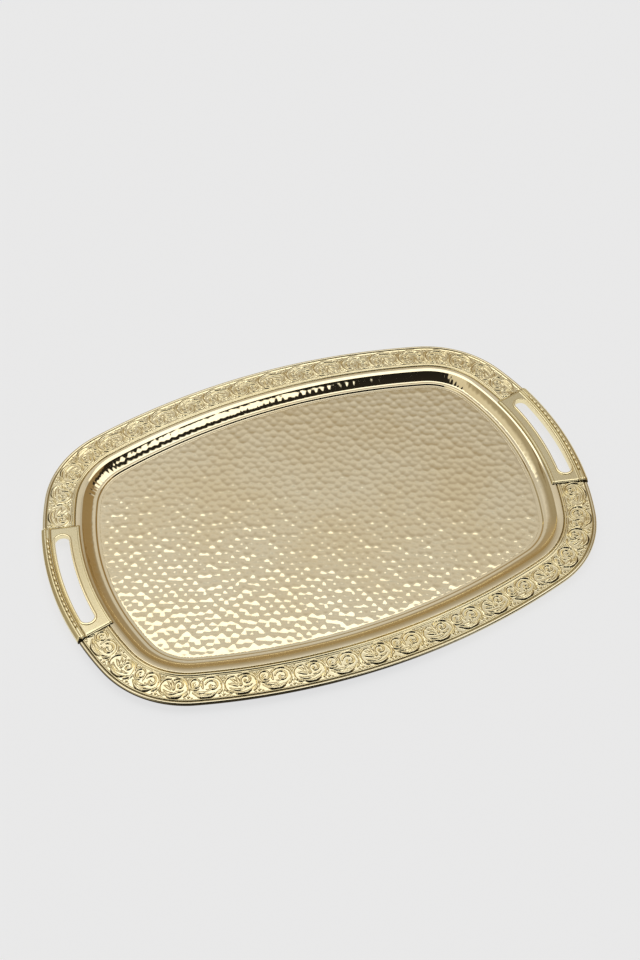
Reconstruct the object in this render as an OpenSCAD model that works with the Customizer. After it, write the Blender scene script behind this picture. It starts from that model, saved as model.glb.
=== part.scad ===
// Oval-cornered serving tray with a low well, an embossed border and two slotted handle plates.
// Millimetres, +Z up. The origin is the middle of the floor's underside, +X runs along the tray.
// Every outline is the same loop of eight arcs, moved inwards by an inset from the outer edge.

/* [Outline] */
// Length over the two handle plates
tray_l = 460; // [450:1:470]
// Width over the rolled edges
tray_w = 333; // [328:1:338]
// Radius of the four corners
corner_r = 87.5; // [84:0.5:93]

/* [Pan] */
// Thickness of the pan's sheet
sheet_t = 0.9; // [0.7:0.05:1]
// Height of the flange's upper face over the table
flange_z = 8.0; // [7.5:0.1:9]
// Outer radius of the rolled edge
roll_r = 1.6; // [1.5:0.05:1.7]
// Thickness of the sheet in the rolled edge
roll_t = 0.7; // [0.5:0.05:0.8]
// Inset of the lip, where the ledge turns down into the well
lip_inset = 32.6; // [32.2:0.1:33]
// Inset of the foot of the well's wall
foot_inset = 40.8; // [40.4:0.1:41.2]

/* [Border] */
// Thickness of the embossed border strips
strip_t = 0.8; // [0.6:0.05:1]
// Inset of the small bead along each strip's inner edge
strip_bead_inset = 25.6; // [25:0.1:25.8]
// Radius of that bead
strip_bead_r = 0.9; // [0.7:0.05:1]

/* [Handles] */
// Half of the angle that a handle plate spans about the middle of its end's arc
seam_angle = 13.2; // [13.1:0.05:14]
// Thickness of a handle plate over the flange
plate_t = 2.7; // [2.6:0.1:3.2]
// Extra height of the outer grip bar
grip_rise = 1.1; // [0.8:0.1:1.5]
// Overhang of a handle plate past the rolled edge
plate_over = 0.8; // [0.4:0.1:1.2]
// Clear length of the finger slot
slot_l = 92; // [84:1:94]
// Clear width of the finger slot
slot_w = 11.6; // [10:0.1:11.8]
// Wall of the slot's liner
liner_t = 0.9; // [0.7:0.05:1]
// Number of beads in each handle's bead wire
bead_count = 17; // [11:2:17]
// Radius of each bead
bead_r = 1.2; // [1:0.05:1.25]

/* [Hidden] */
$fa = 2;
$fs = 0.25;

brass = "#d9bf7c";
bright_brass = "#e6cf93";
steel = "#9a9a9c";
// Gap that each piece keeps from the seam beside a handle
seam_gap = 0.2;
// Gap between pieces that are pushed together
fit_gap = 0.03;
// Length that is past every part of the tray, for cutting tools
far = 1000;

// Directions in which the arcs meet: both are whole-number triangles, so the centres stay round numbers
end_dir = [0.936, 0.352];
side_dir = [0.28, 0.96];

// Radii that make the arcs meet smoothly in those directions
half_l = tray_l / 2 - plate_over;
half_w = tray_w / 2;
run_l = half_l - corner_r * (end_dir.x - side_dir.x);
run_w = half_w - corner_r * (side_dir.y - end_dir.y);
blend = end_dir.y * side_dir.x - (1 - end_dir.x) * (1 - side_dir.y);
side_r = (end_dir.y * run_l - (1 - end_dir.x) * run_w) / blend;
end_r = (side_dir.x * run_w - (1 - side_dir.y) * run_l) / blend;
end_x = half_l - end_r;
corner_centre = [side_dir.x * (side_r - corner_r), end_dir.y * (end_r - corner_r)];

// Heights and insets of the pan's section
flange_in = 2 * roll_r - 0.2;
roll_z = flange_z - 0.5;
step_inset = 27.2;
step_run = 0.5;
ledge_z = flange_z + 0.9;
ledge_fall = 0.3;
ledge_crown = 0.35;
foot_z = 2.4;
wall_turn = [12, 78];
under_turn = 16;
crease_inset = 44.2;
crease_z = 1.75;
margin_inset = 46.2;
wall_w = (foot_inset - lip_inset) / (cos(wall_turn[0]) - cos(wall_turn[1]));
wall_h = (ledge_z - ledge_fall - foot_z) / (sin(wall_turn[1]) - sin(wall_turn[0]));

// Heights and insets of the handles
plate_in = 31;
plate_rest_z = ledge_z + 0.45;
plate_top = flange_z + plate_t;
grip_top = plate_top + grip_rise;
lip_z = flange_z - 1.8;
bead_inset = 4.2;
bead_l = 4.6;
bead_pitch = 5.5;
slot_inset = 15.6;
slot_r = end_r - slot_inset;
liner_lip = 1.1;
liner_lip_t = 0.7;
liner_foot = flange_z - sheet_t - liner_lip_t;

// Screws: sizes, and their places on a plate
screw_r = 1.25;
screw_grip = 1.9;
screw_head_r = 2.2;
screw_head_t = 1.4;
driver_w = 0.7;
driver_t = 0.6;
screw_insets = [6, 24];
screw_arc = 52;

// A point of a section: its inset, measured inwards, and its height
function at_inset(inset, z) = [-inset, z];
function reversed(list) = [for (i = [len(list) - 1 : -1 : 0]) list[i]];
function turn_at(angle) = [cos(angle), sin(angle)];
function arc_angle(length, r) = length / r * 180 / PI;

// Arcs of the loop, each as [centre, radius, first direction, last direction]
side_arc = [[0, half_w - side_r], side_r, side_dir, [-side_dir.x, side_dir.y]];
function quarter_arcs(gap) = [
    [[end_x, 0], end_r, turn_at(seam_angle + arc_angle(gap, end_r)), end_dir],
    [corner_centre, corner_r, end_dir, side_dir]
];
function handle_arc(half_angle) = [[end_x, 0], end_r, turn_at(-half_angle), turn_at(half_angle)];

// Sweeps a section, drawn with the outer edge at x = 0, between an arc's two directions
module along_arc(arc) {
    translate(arc[0])
        intersection() {
            rotate_extrude($fn = 360)
                translate([arc[1], 0])
                    children();
            translate([0, 0, -1])
                linear_extrude(height = 20)
                    polygon([[0, 0], far * arc[2], far * arc[3]]);
        }
}

// Sweeps a section along the rear half of the loop, from seam to seam
module along_rear(gap) {
    along_arc(side_arc) children();
    for (arc = quarter_arcs(gap)) {
        along_arc(arc) children();
        mirror([1, 0, 0]) along_arc(arc) children();
    }
}

// Puts a right-hand piece at the right, or its mirror image at the left
module handed(side) {
    mirror([side < 0 ? 1 : 0, 0, 0]) children();
}

// ---- Pan ----

// The wall is part of an oval; grow moves it outwards to make its underside
function wall_points(first_turn, grow) = [
    for (i = [0 : 9])
        let (t = first_turn + (wall_turn[1] - first_turn) * i / 9)
            at_inset(
                lip_inset + wall_w * cos(wall_turn[0]) - (wall_w + grow) * cos(t),
                ledge_z - ledge_fall + wall_h * sin(wall_turn[0]) - (wall_h + grow) * sin(t)
            )
];

// The ledge is gently crowned between the border and the lip
function ledge_points(start, z, last) = [
    for (i = [0 : 5])
        let (u = last * i / 5)
            at_inset(start + (lip_inset - start) * u, z + ledge_crown * sin(180 * u) - ledge_fall * u)
];

module pan_section(edge_inset) {
    upper = concat(
        [at_inset(edge_inset, flange_z), at_inset(step_inset, flange_z)],
        ledge_points(step_inset + step_run, ledge_z, 0.85),
        wall_points(wall_turn[0], 0),
        [
            at_inset(foot_inset + 0.6, foot_z - 0.45), at_inset(crease_inset, crease_z),
            at_inset(crease_inset + 1, crease_z - 0.6), at_inset(margin_inset, sheet_t),
            at_inset(margin_inset + 2, sheet_t)
        ]
    );
    lower = concat(
        [at_inset(edge_inset, flange_z - sheet_t), at_inset(step_inset + sheet_t, flange_z - sheet_t)],
        ledge_points(step_inset + step_run + sheet_t, ledge_z - sheet_t, 0.7),
        wall_points(under_turn, sheet_t),
        [at_inset(crease_inset - 0.6, crease_z - sheet_t), at_inset(crease_inset + 0.6, 0),
            at_inset(margin_inset + 2, 0)]
    );
    polygon(concat(upper, reversed(lower)));
}

// Sheet rolled over the wire, its edge left open underneath
module roll_section() {
    open_in = 2 * roll_r;
    translate(at_inset(roll_r, roll_z))
        difference() {
            circle(r = roll_r);
            circle(r = roll_r - roll_t);
            polygon([[0, 0], at_inset(roll_r, -open_in), at_inset(open_in, -roll_r), at_inset(open_in, -0.3)]);
        }
}

module rolled_pan_section() {
    pan_section(flange_in);
    roll_section();
}

module pan_quarter_floor() {
    inset = margin_inset + 1;
    steps = 12;
    arcs = [handle_arc(seam_angle), each quarter_arcs(0), side_arc];
    polygon([
        [0, 0],
        for (arc = arcs)
            let (a = max(0, atan2(arc[2].y, arc[2].x)), b = min(90, atan2(arc[3].y, arc[3].x)))
                for (i = [0 : steps])
                    arc[0] + (arc[1] - inset) * turn_at(a + (b - a) * i / steps)
    ]);
}

// Plan of a finger slot at the right-hand end, grown outwards by grow
module slot_plan(grow) {
    half_turn = arc_angle((slot_l - slot_w) / 2, slot_r);
    r = slot_w / 2 + grow;
    steps = 16;
    middle = [end_x, 0];
    function long_side(radius, first) = [
        for (i = [0 : steps]) middle + radius * turn_at(first * (1 - 2 * i / steps))
    ];
    function round_end(turn, first) = [
        for (i = [1 : steps - 1]) middle + slot_r * turn_at(turn) + r * turn_at(first + 180 * i / steps)
    ];
    polygon(concat(
        long_side(slot_r + r, -half_turn), round_end(half_turn, half_turn),
        long_side(slot_r - r, half_turn), round_end(-half_turn, 180 - half_turn)
    ));
}

module slot_hole() {
    linear_extrude(height = grip_top + 2)
        slot_plan(liner_t + fit_gap);
}

// Puts its children at each screw's place, on the flange's underside
module at_screws() {
    turn = arc_angle(screw_arc, slot_r);
    for (s = [-1, 1], inset = screw_insets)
        translate([end_x, 0, flange_z - sheet_t])
            rotate([0, 0, s * turn])
                translate([end_r - inset, 0, 0])
                    children();
}

module screw_holes() {
    at_screws()
        translate([0, 0, -1])
            cylinder(r = screw_r + fit_gap, h = 1 + sheet_t + screw_grip + 0.1);
}

module pan() {
    plain_edge = 0.6;
    color(brass)
        difference() {
            union() {
                for (half = [0, 1])
                    mirror([0, half, 0])
                        along_rear(0) rolled_pan_section();
                for (side = [-1, 1])
                    handed(side)
                        along_arc(handle_arc(seam_angle)) pan_section(plain_edge);
                linear_extrude(height = sheet_t)
                    for (side = [0, 1], half = [0, 1])
                        mirror([side, 0]) mirror([0, half]) pan_quarter_floor();
            }
            for (side = [-1, 1])
                handed(side) {
                    slot_hole();
                    screw_holes();
                }
        }
}

// ---- Border strips, and the wires inside the rolled edge ----

module border_section() {
    low = flange_z;
    high = flange_z + strip_t;
    outer = 2 * roll_r + 0.1;
    inner = strip_bead_inset + strip_bead_r + 0.2;
    polygon([at_inset(outer, low), at_inset(outer, high), at_inset(inner, high), at_inset(inner, low)]);
    intersection() {
        translate(at_inset(strip_bead_inset, high - 0.4)) circle(r = strip_bead_r);
        translate(at_inset(inner, low + 0.1)) square([4, 3]);
    }
}

module border(half) {
    color(bright_brass)
        mirror([0, half < 0 ? 1 : 0, 0])
            along_rear(seam_gap) border_section();
}

module rim_wire(half) {
    color(steel)
        mirror([0, half < 0 ? 1 : 0, 0])
            along_rear(seam_gap)
                translate(at_inset(roll_r, roll_z))
                    circle(r = roll_r - roll_t - fit_gap);
}

// ---- Handles, drawn for the right-hand end ----

module plate_section() {
    back_inset = step_inset - 0.1;
    lip_in = 0.4;
    difference() {
        polygon([
            at_inset(-plate_over, lip_z), at_inset(-plate_over, plate_top - 1.4),
            at_inset(-plate_over + 0.4, plate_top - 0.3), at_inset(0.7, plate_top + 0.4),
            at_inset(1.9, grip_top - 0.2), at_inset(3.2, grip_top), at_inset(5.4, grip_top),
            at_inset(6.3, grip_top - 0.3), at_inset(7.0, plate_top), at_inset(plate_in - 0.8, plate_top),
            at_inset(plate_in, plate_top - 0.7), at_inset(plate_in, plate_rest_z),
            at_inset(back_inset, plate_rest_z), at_inset(back_inset, flange_z),
            at_inset(lip_in, flange_z), at_inset(lip_in, lip_z)
        ]);
        translate(at_inset(bead_inset, grip_top)) circle(r = bead_r + fit_gap);
    }
}

module handle_plate(side) {
    color(brass)
        handed(side)
            difference() {
                along_arc(handle_arc(seam_angle - arc_angle(seam_gap, end_r))) plate_section();
                slot_hole();
                screw_holes();
            }
}

// Tube through plate and flange, with a lip turned out at both ends
module slot_liner(side) {
    color(bright_brass)
        handed(side)
            difference() {
                translate([0, 0, liner_foot]) {
                    linear_extrude(height = liner_lip_t) slot_plan(liner_t + liner_lip);
                    linear_extrude(height = plate_top + liner_lip_t - liner_foot) slot_plan(liner_t);
                    translate([0, 0, plate_top - liner_foot])
                        linear_extrude(height = liner_lip_t) slot_plan(liner_t + liner_lip);
                }
                linear_extrude(height = grip_top + 2) slot_plan(0);
            }
}

// One bead: a barrel with blunt ends, lying along Y
module bead() {
    rotate([90, 0, 0])
        rotate_extrude()
            polygon([
                [0, -bead_l / 2], [bead_r * 0.7, -bead_l / 2], [bead_r, -bead_l / 4],
                [bead_r, bead_l / 4], [bead_r * 0.7, bead_l / 2], [0, bead_l / 2]
            ]);
}

// Beads on a thin wire, laid in the groove on the grip bar
module bead_wire(side) {
    turn = arc_angle(bead_pitch, end_r - bead_inset);
    middle = (bead_count - 1) / 2;
    color(bright_brass)
        handed(side) {
            along_arc(handle_arc(turn * middle))
                translate(at_inset(bead_inset, grip_top))
                    circle(r = bead_r / 2);
            for (i = [-middle : middle])
                translate([end_x, 0, grip_top])
                    rotate([0, 0, turn * i])
                        translate([end_r - bead_inset, 0, 0])
                            bead();
        }
}

// Screws driven up through the flange into the plate's blind holes
module handle_screws(side) {
    color(bright_brass)
        handed(side)
            at_screws() {
                cylinder(r = screw_r, h = sheet_t + screw_grip);
                difference() {
                    translate([0, 0, -screw_head_t]) cylinder(r = screw_head_r, h = screw_head_t);
                    translate([-screw_head_r - 1, -driver_w / 2, -screw_head_t - 1])
                        cube([2 * screw_head_r + 2, driver_w, driver_t + 1]);
                }
            }
}

pan();
border(-1);  // border_front
border(1);  // border_rear
rim_wire(-1);  // rim_wire_front
rim_wire(1);  // rim_wire_rear
handle_plate(-1);  // handle_plate_left
handle_plate(1);  // handle_plate_right
slot_liner(-1);  // slot_liner_left
slot_liner(1);  // slot_liner_right
bead_wire(-1);  // bead_wire_left
bead_wire(1);  // bead_wire_right
handle_screws(-1);  // handle_screws_left
handle_screws(1);  // handle_screws_right
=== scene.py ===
import logging
import math
from dataclasses import dataclass, field
from enum import Enum
from typing import Callable, Optional, Sequence

import bpy
import numpy as np
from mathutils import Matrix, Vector


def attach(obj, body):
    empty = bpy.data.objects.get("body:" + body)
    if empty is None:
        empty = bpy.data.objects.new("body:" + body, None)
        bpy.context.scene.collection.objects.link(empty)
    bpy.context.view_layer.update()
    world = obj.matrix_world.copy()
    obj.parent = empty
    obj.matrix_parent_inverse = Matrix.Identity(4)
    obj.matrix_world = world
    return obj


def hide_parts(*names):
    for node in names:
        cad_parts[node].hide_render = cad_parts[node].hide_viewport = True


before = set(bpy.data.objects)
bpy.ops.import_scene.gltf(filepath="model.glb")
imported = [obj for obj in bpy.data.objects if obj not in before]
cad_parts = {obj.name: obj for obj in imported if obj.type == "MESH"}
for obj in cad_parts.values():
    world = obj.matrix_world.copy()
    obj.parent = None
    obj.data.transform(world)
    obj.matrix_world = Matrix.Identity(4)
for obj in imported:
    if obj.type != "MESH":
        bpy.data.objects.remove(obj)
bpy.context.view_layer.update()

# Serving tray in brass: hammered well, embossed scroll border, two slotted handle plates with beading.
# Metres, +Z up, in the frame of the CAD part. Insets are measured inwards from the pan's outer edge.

LOG = logging.getLogger("tray")
MM = 0.001
ROOT = "root"
PATH_STEP = 0.4 * MM  # distance between the points of a line that a row follows
PULL_SHARE = 0.8  # how far outside a shape, in cells, a grid point is still pulled onto its edge
PROBE_SHARE = 0.02  # step for measuring which way a shape's edge lies, in cells
Colour = tuple[float, float, float]
Point2 = tuple[float, float]
Array = np.ndarray
Object, Material = bpy.types.Object, bpy.types.Material
Tree, Socket = bpy.types.NodeTree, bpy.types.NodeSocket


class Half(Enum):
    """The two long halves of the border, by the side of the X axis they lie on."""

    REAR = "rear"
    FRONT = "front"


class Side(Enum):
    """The two ends of the tray, by the direction of the X axis they lie in."""

    LEFT = -1
    RIGHT = 1


# ---------------------------------------------------------------- outline


def unit(angle: Array) -> Array:
    """Unit vectors at angles in radians."""
    return np.stack([np.cos(angle), np.sin(angle)], -1)


def stations(first: float, last: float, step: float) -> Array:
    """Evenly spaced distances, both ends included."""
    return np.linspace(first, last, max(2, int(round((last - first) / step)) + 1))


@dataclass(frozen=True)
class Arc:
    """One arc of the outline: centre, radius, and first and last direction in radians."""

    centre: Point2
    radius: float
    first: float
    last: float

    @property
    def length(self) -> float:
        """Length of the arc."""
        return self.radius * (self.last - self.first)


@dataclass
class Outline:
    """Loop of eight arcs that meet smoothly, walked anticlockwise from the middle of the right-hand end.

    Attributes:
        half_l: half of the length, without the handles' overhang.
        half_w: half of the width.
        corner_r: radius of the corners.
        seam: half of the angle that a handle spans about its end's arc, in radians.
        end_dir: direction in which the right-hand end's arc passes into a corner.
        side_dir: direction in which that corner passes into the rear side's arc.
        arcs: the arcs in order. The first one is split in two, at the start and at the end.
    """

    half_l: float = 229.2 * MM
    half_w: float = 166.5 * MM
    corner_r: float = 87.5 * MM
    seam: float = math.radians(13.2)
    end_dir: Point2 = (0.936, 0.352)
    side_dir: Point2 = (0.28, 0.96)
    arcs: list[Arc] = field(default_factory=list)

    def __post_init__(self) -> None:
        """Works out the radii and centres of the arcs."""
        (ex, ey), (sx, sy), r = self.end_dir, self.side_dir, self.corner_r
        run_l = self.half_l - r * (ex - sx)
        run_w = self.half_w - r * (sy - ey)
        blend = ey * sx - (1 - ex) * (1 - sy)
        self.side_r = (ey * run_l - (1 - ex) * run_w) / blend
        self.end_r = (sx * run_w - (1 - sy) * run_l) / blend
        self.end_x = self.half_l - self.end_r
        side_y = self.half_w - self.side_r
        cx, cy = sx * (self.side_r - r), ey * (self.end_r - r)
        a, b, turn = math.atan2(ey, ex), math.atan2(sy, sx), math.pi
        self.arcs = [
            Arc((self.end_x, 0), self.end_r, 0, a),
            Arc((cx, cy), r, a, b),
            Arc((0, side_y), self.side_r, b, turn - b),
            Arc((-cx, cy), r, turn - b, turn - a),
            Arc((-self.end_x, 0), self.end_r, turn - a, turn + a),
            Arc((-cx, -cy), r, turn + a, turn + b),
            Arc((0, -side_y), self.side_r, turn + b, 2 * turn - b),
            Arc((cx, -cy), r, 2 * turn - b, 2 * turn - a),
            Arc((self.end_x, 0), self.end_r, 2 * turn - a, 2 * turn),
        ]

    @property
    def length(self) -> float:
        """Length of the whole loop."""
        return sum(arc.length for arc in self.arcs)

    @property
    def seam_s(self) -> float:
        """Distance along the loop from the middle of a handle to its seam."""
        return self.seam * self.end_r

    def at(self, s: Array) -> tuple[Array, Array]:
        """Points on the loop and the outward normals there.

        Args:
            s: distances along the loop.

        Returns:
            Two arrays of shape (n, 2): points and unit normals.
        """
        s = np.mod(s, self.length)
        points = np.zeros((len(s), 2))
        normals = np.zeros((len(s), 2))
        start = 0.0
        for arc in self.arcs:
            inside = (s >= start - 1e-12) & (s <= start + arc.length + 1e-9)
            turn = arc.first + (s[inside] - start) / arc.radius
            direction = unit(turn)
            points[inside] = np.array(arc.centre) + arc.radius * direction
            normals[inside] = direction
            start += arc.length
        return points, normals

    def inset_of(self, xy: Array) -> Array:
        """How far inside the loop points lie.

        Args:
            xy: points, of shape (..., 2).

        Returns:
            Distances from the loop, positive inside it.
        """
        x, y = np.abs(xy[..., 0]), np.abs(xy[..., 1])
        end, corner, side = self.arcs[:3]
        zones = ((end, -1.0, end.last), (corner, corner.first, corner.last), (side, side.first, 9.0))
        result = np.full(x.shape, np.inf)
        for arc, low, high in zones:
            dx, dy = x - arc.centre[0], y - arc.centre[1]
            turn = np.arctan2(dy, dx)
            here = (turn >= low) & (turn <= high)
            result = np.where(here, np.minimum(result, arc.radius - np.hypot(dx, dy)), result)
        return result

    def half_run(self, half: Half, gap: float = 0.0) -> Point2:
        """First distance and length of the stretch between the handles, less a gap at each seam.

        Args:
            half: which long half.
            gap: gap at each seam.

        Returns:
            Distance at which the stretch starts, and its length.
        """
        seam, turn = self.seam_s, self.length / 2
        start = seam + gap if half is Half.REAR else turn + seam + gap
        return start, turn - 2 * seam - 2 * gap


# ---------------------------------------------------------------- mesh tools


def rounded(points: Sequence[Point2], radius: float, steps: int = 4) -> list[Point2]:
    """Rounds the inner corners of an open line.

    Args:
        points: the corners, in order.
        radius: radius of the rounding, made smaller where an edge is short.
        steps: pieces to each rounding.

    Returns:
        The rounded line.
    """
    result = [points[0]]
    for before, corner, after in zip(points, points[1:], points[2:]):
        p, c, q = (np.array(v, float) for v in (before, corner, after))
        back, ahead = p - c, q - c
        lb, la = np.linalg.norm(back), np.linalg.norm(ahead)
        back, ahead = back / lb, ahead / la
        half = math.acos(float(np.clip(back @ ahead, -1, 1))) / 2
        if half > math.radians(88):
            result.append(corner)
            continue
        reach = min(radius / math.tan(half), 0.45 * lb, 0.45 * la)
        a, b = c + back * reach, c + ahead * reach
        for i in range(steps + 1):
            t = i / steps
            result.append(tuple((1 - t) ** 2 * a + 2 * t * (1 - t) * c + t * t * b))
    result.append(points[-1])
    return result


def new_object(name: str, verts: Array, faces: Array, caps: Sequence[Sequence[int]] = ()) -> Object:
    """Makes a smooth mesh object at the origin.

    Args:
        name: the piece's name.
        verts: vertices, of shape (n, 3), in metres.
        faces: rows of four vertex numbers.
        caps: further faces of any number of corners.

    Returns:
        The new object, linked to the scene.
    """
    mesh = bpy.data.meshes.new(name)
    mesh.from_pydata(verts.tolist(), [], [*faces.tolist(), *caps])
    mesh.shade_smooth()
    mesh.update()
    obj = bpy.data.objects.new(name, mesh)
    bpy.context.scene.collection.objects.link(obj)
    return obj


def grid_faces(rows: int, columns: int, wrap_rows: bool = False, wrap_columns: bool = False) -> Array:
    """Quads between neighbouring points of a grid stored row by row.

    Args:
        rows: number of rows.
        columns: points in a row.
        wrap_rows: whether the last row joins the first.
        wrap_columns: whether a row's last point joins its first.

    Returns:
        Rows of four vertex numbers.
    """
    r = np.arange(rows if wrap_rows else rows - 1)
    c = np.arange(columns if wrap_columns else columns - 1)
    r, c = np.meshgrid(r, c, indexing="ij")
    r2, c2 = (r + 1) % rows, (c + 1) % columns
    quads = np.stack([r * columns + c, r2 * columns + c, r2 * columns + c2, r * columns + c2], -1)
    return quads.reshape(-1, 4)


def set_attribute(obj: Object, name: str, kind: str, values: Array) -> None:
    """Stores one value or vector for each vertex under a name.

    Args:
        obj: the piece.
        name: the attribute's name.
        kind: its type.
        values: one value or vector for each vertex.
    """
    attribute = obj.data.attributes.new(name, kind, "POINT")
    key = "vector" if kind == "FLOAT_VECTOR" else "value"
    attribute.data.foreach_set(key, np.asarray(values, np.float32).ravel())


def lofted(centre: Array, outward: Array, out: Array, height: Array) -> Array:
    """Sets a section up across every point of a line.

    Args:
        centre: the line's points, of shape (n, 2).
        outward: unit vectors across the line, of shape (n, 2).
        out: how far out each section point lies.
        height: height of each section point.

    Returns:
        Points of shape (n, section points, 3).
    """
    xy = centre[:, None, :] + outward[:, None, :] * out[None, :, None]
    return np.concatenate([xy, np.broadcast_to(height[None, :, None], xy.shape[:2] + (1,))], -1)


def sweep(
    name: str, outline: Outline, section: Sequence[Point2], s: Array, closed: bool, mark_stretch: float = 1.0
) -> Object:
    """Sweeps a closed section along the outline.

    Args:
        name: the piece's name.
        outline: the loop to follow.
        section: (inset, height) points, walked so that the solid lies on their left.
        s: distances along the loop.
        closed: whether the last distance joins the first. Otherwise both ends get a cap.
        mark_stretch: factor for the distances over the section in mark_at.

    Returns:
        The swept piece. Its attribute mark_at holds the distances along the loop and over the section.
    """
    points, normals = outline.at(s)
    inset, height = np.array(section).T
    verts = lofted(points, normals, -inset, height)
    count, total = len(section), len(s) * len(section)
    caps = () if closed else (range(count), range(total - 1, total - count - 1, -1))
    obj = new_object(name, verts.reshape(-1, 3), grid_faces(len(s), count, closed, True), caps)
    mark = np.zeros(verts.shape, np.float32)
    mark[..., 0] = s[:, None]
    mark[..., 1] = np.concatenate([[0], np.cumsum(np.hypot(np.diff(inset), np.diff(height)))])
    mark[..., 1] *= mark_stretch
    set_attribute(obj, "mark_at", "FLOAT_VECTOR", mark.reshape(-1, 3))
    return obj


def trimmed_sheet(
    points: Array, inside: Callable[[Array], Array], cell: float
) -> tuple[Array, Array]:
    """Cuts a flat grid to a shape and pulls its edge onto the shape's outline.

    Args:
        points: grid points, of shape (rows, columns, 2).
        inside: gives how far points lie inside the shape, negative outside.
        cell: size of the grid's cells.

    Returns:
        The moved points, of shape (rows * columns, 2), and the quads that stay.
    """
    rows, columns = points.shape[:2]
    flat = points.reshape(-1, 2).copy()
    depth = inside(flat)
    eps = cell * PROBE_SHARE
    gradient = np.stack([(inside(flat + step) - depth) / eps for step in ([eps, 0], [0, eps])], 1)
    near = (depth < 0) & (depth > -PULL_SHARE * cell)
    flat[near] -= gradient[near] * depth[near, None]
    kept = near | (depth >= 0)
    faces = grid_faces(rows, columns)
    return flat, faces[kept[faces].all(1)]


def compact(verts: Array, faces: Array, *extra: Array) -> tuple[Array, ...]:
    """Drops the vertices that no face uses, here and in the arrays that go with them.

    Args:
        verts: vertices.
        faces: rows of vertex numbers.
        extra: further arrays with a row for each vertex.

    Returns:
        The same arrays without the unused vertices.
    """
    used = np.unique(faces)
    renumber = np.full(len(verts), -1)
    renumber[used] = np.arange(len(used))
    return (verts[used], renumber[faces], *(e[used] for e in extra))


# ---------------------------------------------------------------- node trees


class Wiring:
    """Adds nodes to a tree and joins them, so that a tree reads as a short list."""

    def __init__(self, tree: Tree) -> None:
        """Works on a given tree."""
        self.tree = tree

    def add(self, kind: str, inputs: Optional[dict] = None, **settings: object) -> bpy.types.Node:
        """Adds one node.

        Args:
            kind: the node's type name.
            inputs: socket name or number to a value, or to the output socket that feeds it.
            settings: properties of the node.

        Returns:
            The new node.
        """
        node = self.tree.nodes.new(kind)
        for key, value in settings.items():
            setattr(node, key, value)
        for key, value in (inputs or {}).items():
            self.feed(node.inputs[key], value)
        return node

    def feed(self, socket: Socket, value: object) -> None:
        """Joins an output to a socket, or sets the socket's own value.

        Args:
            socket: the input socket.
            value: an output socket, or a plain value.
        """
        if isinstance(value, Socket):
            self.tree.links.new(value, socket)
        elif isinstance(value, tuple) and len(value) == 3 and socket.type == "RGBA":
            socket.default_value = (*value, 1.0)
        else:
            socket.default_value = value

    def maths(self, operation: str, *values: object, clamp: bool = False) -> Socket:
        """One step of arithmetic on numbers or outputs."""
        node = self.add("ShaderNodeMath", dict(enumerate(values)), operation=operation, use_clamp=clamp)
        return node.outputs[0]

    def vectors(self, operation: str, *values: object) -> Socket:
        """One step of arithmetic on vectors."""
        node = self.add("ShaderNodeVectorMath", dict(enumerate(values)), operation=operation)
        return node.outputs["Value" if operation in ("DOT_PRODUCT", "LENGTH") else "Vector"]

    def scaled(self, vector: object, factor: object) -> Socket:
        """A vector made longer or shorter."""
        return self.add("ShaderNodeVectorMath", {0: vector, "Scale": factor}, operation="SCALE").outputs[0]

    def xyz(self, x: object = 0.0, y: object = 0.0, z: object = 0.0) -> Socket:
        """A vector from its three parts."""
        return self.add("ShaderNodeCombineXYZ", {0: x, 1: y, 2: z}).outputs[0]

    def ramp(self, value: object, low: float, high: float, falling: bool = False) -> Socket:
        """Rises smoothly from 0 to 1 between two values, or falls from 1 to 0.

        Args:
            value: the value to map.
            low: where the change begins.
            high: where it ends.
            falling: whether the result falls instead of rising.

        Returns:
            The output socket.
        """
        ends = {"Value": value, "From Min": low, "From Max": high}
        ends |= {"To Min": 1.0, "To Max": 0.0} if falling else {"To Min": 0.0, "To Max": 1.0}
        return self.add("ShaderNodeMapRange", ends, interpolation_type="SMOOTHSTEP").outputs["Result"]

    def mix(self, factor: object, a: object, b: object) -> Socket:
        """Mixes two colours."""
        return self.add("ShaderNodeMix", {0: factor, 6: a, 7: b}, data_type="RGBA").outputs[2]

    def noise(self, vector: object, scale: object, detail: float = 2.0) -> Socket:
        """A noise pattern's value."""
        return self.add("ShaderNodeTexNoise", {"Vector": vector, "Scale": scale, "Detail": detail}).outputs[0]

    def total(self, a: object, share_a: float, b: object, share_b: float) -> Socket:
        """Two values added up by their shares."""
        return self.maths("ADD", self.maths("MULTIPLY", a, share_a), self.maths("MULTIPLY", b, share_b))


def open_group(name: str, kind: str, inputs: dict[str, tuple[str, object]], outputs: dict[str, str]) -> tuple:
    """Starts a node group with named sockets.

    Args:
        name: the group's name.
        kind: the tree's type name.
        inputs: socket name to its type and default value (None for no default).
        outputs: socket name to its type.

    Returns:
        The tree, its wiring, the sockets that bring its inputs and the sockets that take its outputs.
    """
    tree = bpy.data.node_groups.new(name, kind)
    for label, (socket_type, value) in inputs.items():
        socket = tree.interface.new_socket(name=label, in_out="INPUT", socket_type=socket_type)
        if value is not None:
            socket.default_value = value
    for label, socket_type in outputs.items():
        tree.interface.new_socket(name=label, in_out="OUTPUT", socket_type=socket_type)
    given, result = tree.nodes.new("NodeGroupInput"), tree.nodes.new("NodeGroupOutput")
    return tree, Wiring(tree), given.outputs, result.inputs


FLOAT, INTEGER, COLOUR = "NodeSocketFloat", "NodeSocketInt", "NodeSocketColor"
GEOMETRY, OBJECT, MATERIAL = "NodeSocketGeometry", "NodeSocketObject", "NodeSocketMaterial"


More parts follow.
